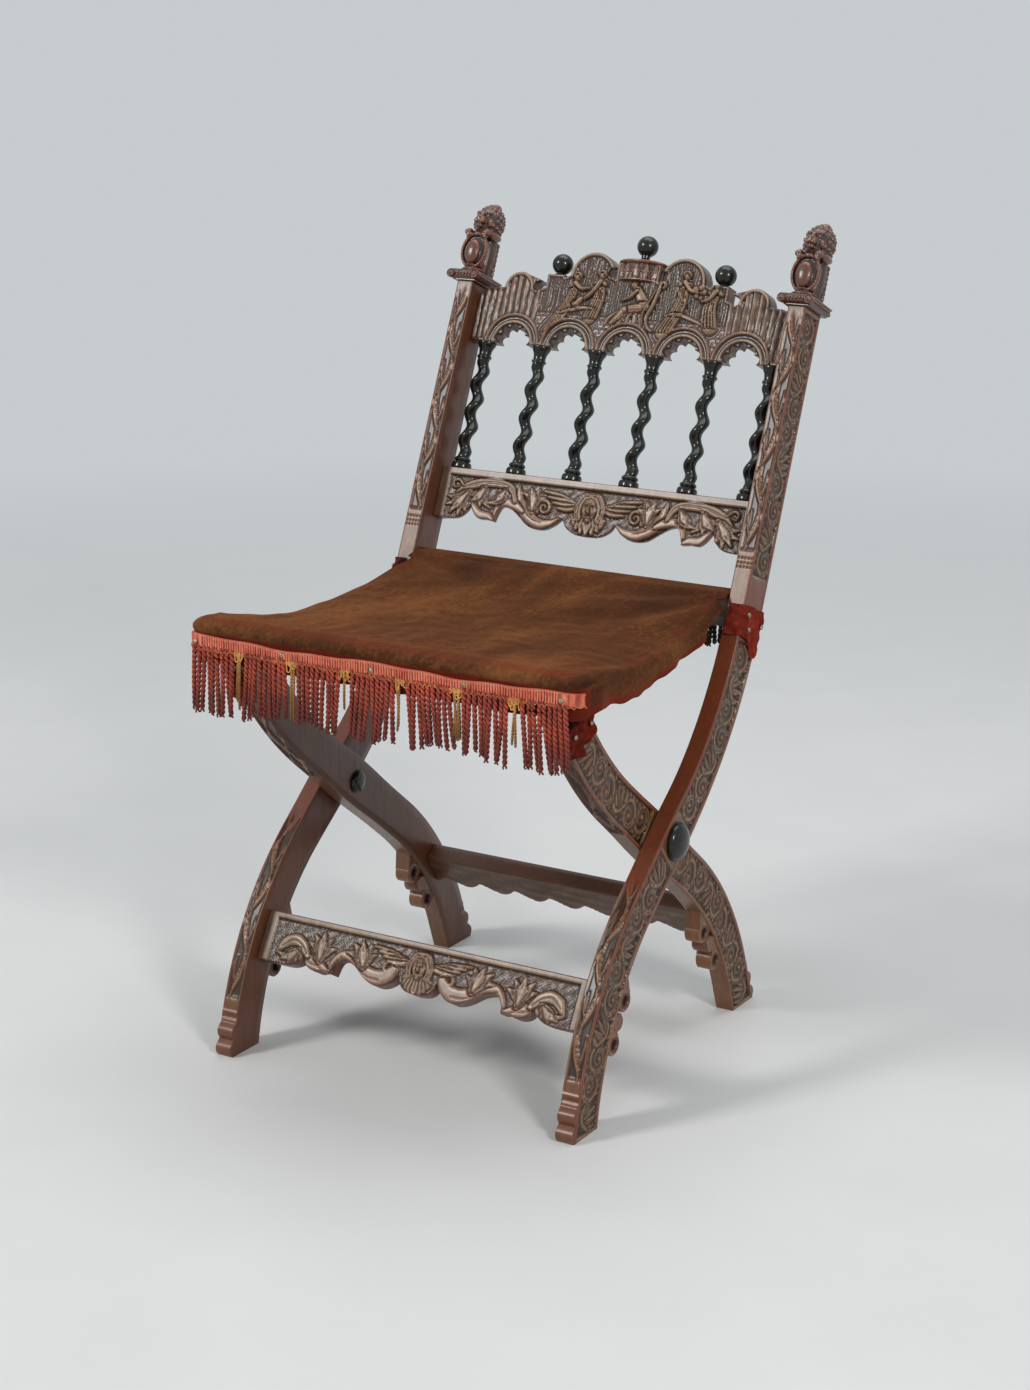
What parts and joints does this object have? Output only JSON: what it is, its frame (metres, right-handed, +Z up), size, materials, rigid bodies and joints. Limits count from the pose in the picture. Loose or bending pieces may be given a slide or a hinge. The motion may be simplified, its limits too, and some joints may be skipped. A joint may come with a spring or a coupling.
{
  "type": "folding side chair",
  "caption": "Folding X-frame side chair with a carved arcaded back of twisted spindles, lion finials and a fringed velvet sling seat between two rails.",
  "frame": {"origin": "on the floor under the middle of the chair's box", "axes": "+Z up, the chair faces -Y, +X to the right seen from the front; the fold axis runs along X"},
  "size_m": [0.472, 0.5944, 0.8788],
  "materials": {
    "oak": "waxed dark walnut, carved",
    "red_wood": "waxed, reddish, carved",
    "ebony": "polished, ebonised",
    "iron": "plain, worn",
    "leather": "plain",
    "velvet": "cut velvet, worn",
    "fringe": "twisted bullion cord"
  },
  "bodies": {
    "back_frame": {"left_stile": "oak", "right_stile": "oak", "left_finial": "red_wood", "right_finial": "red_wood", "crest_rail": "oak", "lower_back_rail": "oak", "spindle_1": "ebony", "spindle_2": "ebony", "spindle_3": "ebony", "spindle_4": "ebony", "spindle_5": "ebony", "spindle_6": "ebony", "left_ball": "ebony", "centre_ball": "ebony", "right_ball": "ebony", "front_stretcher": "oak", "rear_seat_rail": "oak", "left_pivot_pin": "iron", "right_pivot_pin": "iron", "left_pivot_boss": "ebony", "right_pivot_boss": "ebony", "left_rear_tab": "velvet", "right_rear_tab": "velvet", "rear_fringe": "fringe"},
    "seat_frame": {"left_leg": "oak", "right_leg": "oak", "rear_stretcher": "oak", "front_seat_rail": "oak", "left_pivot_button": "ebony", "right_pivot_button": "ebony", "left_pivot_washer": "leather", "right_pivot_washer": "leather", "left_front_tab": "velvet", "right_front_tab": "velvet", "front_fringe": "fringe", "seat_cover": "velvet"}
  },
  "joints": [
    {"name": "fold", "type": "hinge", "parent": "back_frame", "child": "seat_frame", "pos_m": [0, -0.06982, 0.26], "axis": [-1, 0, 0], "range_deg": [0, 65], "deforming": ["seat_cover"]}
  ]
}
